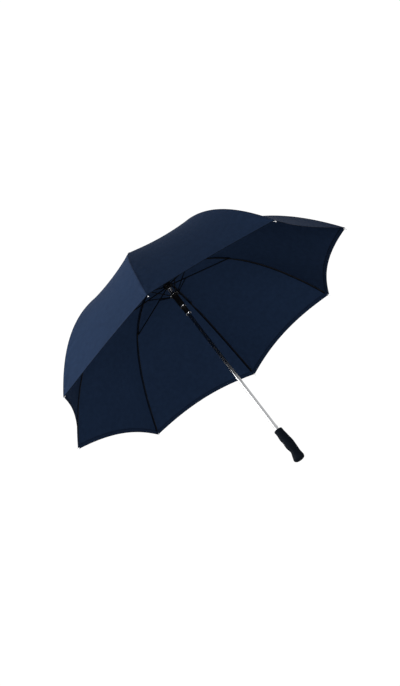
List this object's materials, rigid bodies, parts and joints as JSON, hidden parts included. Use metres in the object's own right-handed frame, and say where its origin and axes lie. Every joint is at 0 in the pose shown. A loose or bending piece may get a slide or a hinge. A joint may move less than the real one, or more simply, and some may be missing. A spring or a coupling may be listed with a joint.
{
  "type": "golf umbrella",
  "caption": "Open golf umbrella with a domed panelled navy canopy, black ribs and stretchers, a spring runner on a straight metal shaft, and a contoured foam grip.",
  "frame": {"origin": "centre of the small flat under the grip, on the shaft's axis", "axes": "+Z along the shaft towards the crown, +X along rib 1, which is on the palm-swell side of the grip and on the catch's side"},
  "size_m": [1.2884, 1.2884, 0.944],
  "materials": {
    "canopy_fabric": "navy plain-weave polyester, matt",
    "black_steel": "black satin",
    "black_rod": "black glass-fibre rod, satin",
    "bright_metal": "polished",
    "spring_steel": "bright drawn wire",
    "black_plastic": "black moulded, satin",
    "grip_foam": "dark navy moulded foam, matt"
  },
  "bodies": {
    "shaft_and_grip": {"shaft_tube": "bright_metal", "top_notch": "black_plastic", "crown_washer": "black_plastic", "ferrule": "black_plastic", "grip": "grip_foam", "grip_core": "black_plastic"},
    "inner_rib_1": {"rib_inner_1": "black_steel", "canopy_gore_1": "canopy_fabric"},
    "outer_rib_1": {"rib_outer_1": "black_rod", "rib_tip_1": "bright_metal"},
    "stretcher_1": {"stretcher_1": "black_steel"},
    "strut_1": {"spring_strut_1": "black_steel"},
    "inner_rib_2": {"rib_inner_2": "black_steel", "canopy_gore_2": "canopy_fabric"},
    "outer_rib_2": {"rib_outer_2": "black_rod", "rib_tip_2": "bright_metal"},
    "stretcher_2": {"stretcher_2": "black_steel"},
    "strut_2": {"spring_strut_2": "black_steel"},
    "inner_rib_3": {"rib_inner_3": "black_steel", "canopy_gore_3": "canopy_fabric"},
    "outer_rib_3": {"rib_outer_3": "black_rod", "rib_tip_3": "bright_metal"},
    "stretcher_3": {"stretcher_3": "black_steel"},
    "strut_3": {"spring_strut_3": "black_steel"},
    "inner_rib_4": {"rib_inner_4": "black_steel", "canopy_gore_4": "canopy_fabric"},
    "outer_rib_4": {"rib_outer_4": "black_rod", "rib_tip_4": "bright_metal"},
    "stretcher_4": {"stretcher_4": "black_steel"},
    "strut_4": {"spring_strut_4": "black_steel"},
    "inner_rib_5": {"rib_inner_5": "black_steel", "canopy_gore_5": "canopy_fabric"},
    "outer_rib_5": {"rib_outer_5": "black_rod", "rib_tip_5": "bright_metal"},
    "stretcher_5": {"stretcher_5": "black_steel"},
    "strut_5": {"spring_strut_5": "black_steel"},
    "inner_rib_6": {"rib_inner_6": "black_steel", "canopy_gore_6": "canopy_fabric"},
    "outer_rib_6": {"rib_outer_6": "black_rod", "rib_tip_6": "bright_metal"},
    "stretcher_6": {"stretcher_6": "black_steel"},
    "strut_6": {"spring_strut_6": "black_steel"},
    "inner_rib_7": {"rib_inner_7": "black_steel", "canopy_gore_7": "canopy_fabric"},
    "outer_rib_7": {"rib_outer_7": "black_rod", "rib_tip_7": "bright_metal"},
    "stretcher_7": {"stretcher_7": "black_steel"},
    "strut_7": {"spring_strut_7": "black_steel"},
    "inner_rib_8": {"rib_inner_8": "black_steel", "canopy_gore_8": "canopy_fabric"},
    "outer_rib_8": {"rib_outer_8": "black_rod", "rib_tip_8": "bright_metal"},
    "stretcher_8": {"stretcher_8": "black_steel"},
    "strut_8": {"spring_strut_8": "black_steel"},
    "runner": {"stretcher_runner": "black_plastic", "opening_spring": "spring_steel"},
    "slider": {"spring_slider": "black_plastic", "slider_ring_upper": "bright_metal", "slider_ring_lower": "bright_metal"},
    "catch": {"bottom_catch": "spring_steel"}
  },
  "joints": [
    {"name": "rib_1_fold", "type": "hinge", "parent": "shaft_and_grip", "child": "inner_rib_1", "pos_m": [0.013, 0, 0.903], "axis": [0, 1, 0], "range_deg": [0, 83.55], "stiffness_Nm_per_rad": 1.6, "springref_deg": -137.51, "deforming": ["canopy_gore_1"]},
    {"name": "rib_2_fold", "type": "hinge", "parent": "shaft_and_grip", "child": "inner_rib_2", "pos_m": [0.00919, 0.00919, 0.903], "axis": [-0.7071, 0.7071, 0], "range_deg": [0, 83.55], "deforming": ["canopy_gore_2"]},
    {"name": "rib_3_fold", "type": "hinge", "parent": "shaft_and_grip", "child": "inner_rib_3", "pos_m": [0, 0.013, 0.903], "axis": [-1, 0, 0], "range_deg": [0, 83.55], "deforming": ["canopy_gore_3"]},
    {"name": "rib_4_fold", "type": "hinge", "parent": "shaft_and_grip", "child": "inner_rib_4", "pos_m": [-0.00919, 0.00919, 0.903], "axis": [-0.7071, -0.7071, 0], "range_deg": [0, 83.55], "deforming": ["canopy_gore_4"]},
    {"name": "rib_5_fold", "type": "hinge", "parent": "shaft_and_grip", "child": "inner_rib_5", "pos_m": [-0.013, 0, 0.903], "axis": [0, -1, 0], "range_deg": [0, 83.55], "deforming": ["canopy_gore_5"]},
    {"name": "rib_6_fold", "type": "hinge", "parent": "shaft_and_grip", "child": "inner_rib_6", "pos_m": [-0.00919, -0.00919, 0.903], "axis": [0.7071, -0.7071, 0], "range_deg": [0, 83.55], "deforming": ["canopy_gore_6"]},
    {"name": "rib_7_fold", "type": "hinge", "parent": "shaft_and_grip", "child": "inner_rib_7", "pos_m": [0, -0.013, 0.903], "axis": [1, 0, 0], "range_deg": [0, 83.55], "deforming": ["canopy_gore_7"]},
    {"name": "rib_8_fold", "type": "hinge", "parent": "shaft_and_grip", "child": "inner_rib_8", "pos_m": [0.00919, -0.00919, 0.903], "axis": [0.7071, 0.7071, 0], "range_deg": [0, 83.55], "deforming": ["canopy_gore_8"]},
    {"name": "rib_1_flex", "type": "hinge", "parent": "inner_rib_1", "child": "outer_rib_1", "pos_m": [0.338, 0, 0.872], "axis": [0, -1, 0], "range_deg": [0, 39.98]},
    {"name": "rib_2_flex", "type": "hinge", "parent": "inner_rib_2", "child": "outer_rib_2", "pos_m": [0.239, 0.239, 0.872], "axis": [0.7071, -0.7071, 0], "range_deg": [0, 39.98]},
    {"name": "rib_3_flex", "type": "hinge", "parent": "inner_rib_3", "child": "outer_rib_3", "pos_m": [0, 0.338, 0.872], "axis": [1, 0, 0], "range_deg": [0, 39.98]},
    {"name": "rib_4_flex", "type": "hinge", "parent": "inner_rib_4", "child": "outer_rib_4", "pos_m": [-0.239, 0.239, 0.872], "axis": [0.7071, 0.7071, 0], "range_deg": [0, 39.98]},
    {"name": "rib_5_flex", "type": "hinge", "parent": "inner_rib_5", "child": "outer_rib_5", "pos_m": [-0.338, 0, 0.872], "axis": [0, 1, 0], "range_deg": [0, 39.98]},
    {"name": "rib_6_flex", "type": "hinge", "parent": "inner_rib_6", "child": "outer_rib_6", "pos_m": [-0.239, -0.239, 0.872], "axis": [-0.7071, 0.7071, 0], "range_deg": [0, 39.98]},
    {"name": "rib_7_flex", "type": "hinge", "parent": "inner_rib_7", "child": "outer_rib_7", "pos_m": [0, -0.338, 0.872], "axis": [-1, 0, 0], "range_deg": [0, 39.98]},
    {"name": "rib_8_flex", "type": "hinge", "parent": "inner_rib_8", "child": "outer_rib_8", "pos_m": [0.239, -0.239, 0.872], "axis": [-0.7071, -0.7071, 0], "range_deg": [0, 39.98]},
    {"name": "stretcher_1_elbow", "type": "hinge", "parent": "inner_rib_1", "child": "stretcher_1", "pos_m": [0.338, -0.0024, 0.872], "axis": [0, -1, 0], "range_deg": [0, 167.11]},
    {"name": "stretcher_2_elbow", "type": "hinge", "parent": "inner_rib_2", "child": "stretcher_2", "pos_m": [0.2407, 0.2373, 0.872], "axis": [0.7071, -0.7071, 0], "range_deg": [0, 167.11]},
    {"name": "stretcher_3_elbow", "type": "hinge", "parent": "inner_rib_3", "child": "stretcher_3", "pos_m": [0.0024, 0.338, 0.872], "axis": [1, 0, 0], "range_deg": [0, 167.11]},
    {"name": "stretcher_4_elbow", "type": "hinge", "parent": "inner_rib_4", "child": "stretcher_4", "pos_m": [-0.2373, 0.2407, 0.872], "axis": [0.7071, 0.7071, 0], "range_deg": [0, 167.11]},
    {"name": "stretcher_5_elbow", "type": "hinge", "parent": "inner_rib_5", "child": "stretcher_5", "pos_m": [-0.338, 0.0024, 0.872], "axis": [0, 1, 0], "range_deg": [0, 167.11]},
    {"name": "stretcher_6_elbow", "type": "hinge", "parent": "inner_rib_6", "child": "stretcher_6", "pos_m": [-0.2407, -0.2373, 0.872], "axis": [-0.7071, 0.7071, 0], "range_deg": [0, 167.11]},
    {"name": "stretcher_7_elbow", "type": "hinge", "parent": "inner_rib_7", "child": "stretcher_7", "pos_m": [-0.0024, -0.338, 0.872], "axis": [-1, 0, 0], "range_deg": [0, 167.11]},
    {"name": "stretcher_8_elbow", "type": "hinge", "parent": "inner_rib_8", "child": "stretcher_8", "pos_m": [0.2373, -0.2407, 0.872], "axis": [-0.7071, -0.7071, 0], "range_deg": [0, 167.11]},
    {"name": "runner_pivot", "type": "hinge", "parent": "stretcher_1", "child": "runner", "pos_m": [0.013, -0.0024, 0.841], "axis": [0, 1, 0], "range_deg": [0, 83.56], "deforming": ["opening_spring"]},
    {"name": "slider_on_spring", "type": "slide", "parent": "runner", "child": "slider", "axis": [0, 0, 1], "range_m": [0, 0.03109], "deforming": ["bottom_catch"]},
    {"name": "strut_1_pivot", "type": "hinge", "parent": "stretcher_1", "child": "strut_1", "pos_m": [0.09463, -0.0003, 0.84879], "axis": [0, 1, 0], "range_deg": [0, 27.52]},
    {"name": "strut_2_pivot", "type": "hinge", "parent": "stretcher_2", "child": "strut_2", "pos_m": [0.06713, 0.0667, 0.84879], "axis": [-0.7071, 0.7071, 0], "range_deg": [0, 27.52]},
    {"name": "strut_3_pivot", "type": "hinge", "parent": "stretcher_3", "child": "strut_3", "pos_m": [0.0003, 0.09463, 0.84879], "axis": [-1, 0, 0], "range_deg": [0, 27.52]},
    {"name": "strut_4_pivot", "type": "hinge", "parent": "stretcher_4", "child": "strut_4", "pos_m": [-0.0667, 0.06713, 0.84879], "axis": [-0.7071, -0.7071, 0], "range_deg": [0, 27.52]},
    {"name": "strut_5_pivot", "type": "hinge", "parent": "stretcher_5", "child": "strut_5", "pos_m": [-0.09463, 0.0003, 0.84879], "axis": [0, -1, 0], "range_deg": [0, 27.52]},
    {"name": "strut_6_pivot", "type": "hinge", "parent": "stretcher_6", "child": "strut_6", "pos_m": [-0.06713, -0.0667, 0.84879], "axis": [0.7071, -0.7071, 0], "range_deg": [0, 27.52]},
    {"name": "strut_7_pivot", "type": "hinge", "parent": "stretcher_7", "child": "strut_7", "pos_m": [-0.0003, -0.09463, 0.84879], "axis": [1, 0, 0], "range_deg": [0, 27.52]},
    {"name": "strut_8_pivot", "type": "hinge", "parent": "stretcher_8", "child": "strut_8", "pos_m": [0.0667, -0.06713, 0.84879], "axis": [0.7071, 0.7071, 0], "range_deg": [0, 27.52]},
    {"name": "catch_press", "type": "slide", "parent": "shaft_and_grip", "child": "catch", "axis": [-1, 0, 0], "range_m": [0, 0.004], "stiffness_N_per_m": 900, "springref_m": -0.001}
  ],
  "couplings": [
    {"joint": "rib_2_fold", "follows": "rib_1_fold", "ratio": 1},
    {"joint": "rib_3_fold", "follows": "rib_1_fold", "ratio": 1},
    {"joint": "rib_4_fold", "follows": "rib_1_fold", "ratio": 1},
    {"joint": "rib_5_fold", "follows": "rib_1_fold", "ratio": 1},
    {"joint": "rib_6_fold", "follows": "rib_1_fold", "ratio": 1},
    {"joint": "rib_7_fold", "follows": "rib_1_fold", "ratio": 1},
    {"joint": "rib_8_fold", "follows": "rib_1_fold", "ratio": 1},
    {"joint": "rib_1_flex", "follows": "rib_1_fold", "ratio": 0.47842},
    {"joint": "rib_2_flex", "follows": "rib_1_fold", "ratio": 0.47842},
    {"joint": "rib_3_flex", "follows": "rib_1_fold", "ratio": 0.47842},
    {"joint": "rib_4_flex", "follows": "rib_1_fold", "ratio": 0.47842},
    {"joint": "rib_5_flex", "follows": "rib_1_fold", "ratio": 0.47842},
    {"joint": "rib_6_flex", "follows": "rib_1_fold", "ratio": 0.47842},
    {"joint": "rib_7_flex", "follows": "rib_1_fold", "ratio": 0.47842},
    {"joint": "rib_8_flex", "follows": "rib_1_fold", "ratio": 0.47842},
    {"joint": "stretcher_1_elbow", "follows": "rib_1_fold", "ratio": 2},
    {"joint": "stretcher_2_elbow", "follows": "rib_1_fold", "ratio": 2},
    {"joint": "stretcher_3_elbow", "follows": "rib_1_fold", "ratio": 2},
    {"joint": "stretcher_4_elbow", "follows": "rib_1_fold", "ratio": 2},
    {"joint": "stretcher_5_elbow", "follows": "rib_1_fold", "ratio": 2},
    {"joint": "stretcher_6_elbow", "follows": "rib_1_fold", "ratio": 2},
    {"joint": "stretcher_7_elbow", "follows": "rib_1_fold", "ratio": 2},
    {"joint": "stretcher_8_elbow", "follows": "rib_1_fold", "ratio": 2},
    {"joint": "runner_pivot", "follows": "rib_1_fold", "ratio": 1},
    {"joint": "slider_on_spring", "follows": "rib_1_fold", "m_per_rad": 0.021303},
    {"joint": "strut_1_pivot", "follows": "rib_1_fold", "ratio": 0.32929},
    {"joint": "strut_2_pivot", "follows": "rib_1_fold", "ratio": 0.32929},
    {"joint": "strut_3_pivot", "follows": "rib_1_fold", "ratio": 0.32929},
    {"joint": "strut_4_pivot", "follows": "rib_1_fold", "ratio": 0.32929},
    {"joint": "strut_5_pivot", "follows": "rib_1_fold", "ratio": 0.32929},
    {"joint": "strut_6_pivot", "follows": "rib_1_fold", "ratio": 0.32929},
    {"joint": "strut_7_pivot", "follows": "rib_1_fold", "ratio": 0.32929},
    {"joint": "strut_8_pivot", "follows": "rib_1_fold", "ratio": 0.32929}
  ]
}
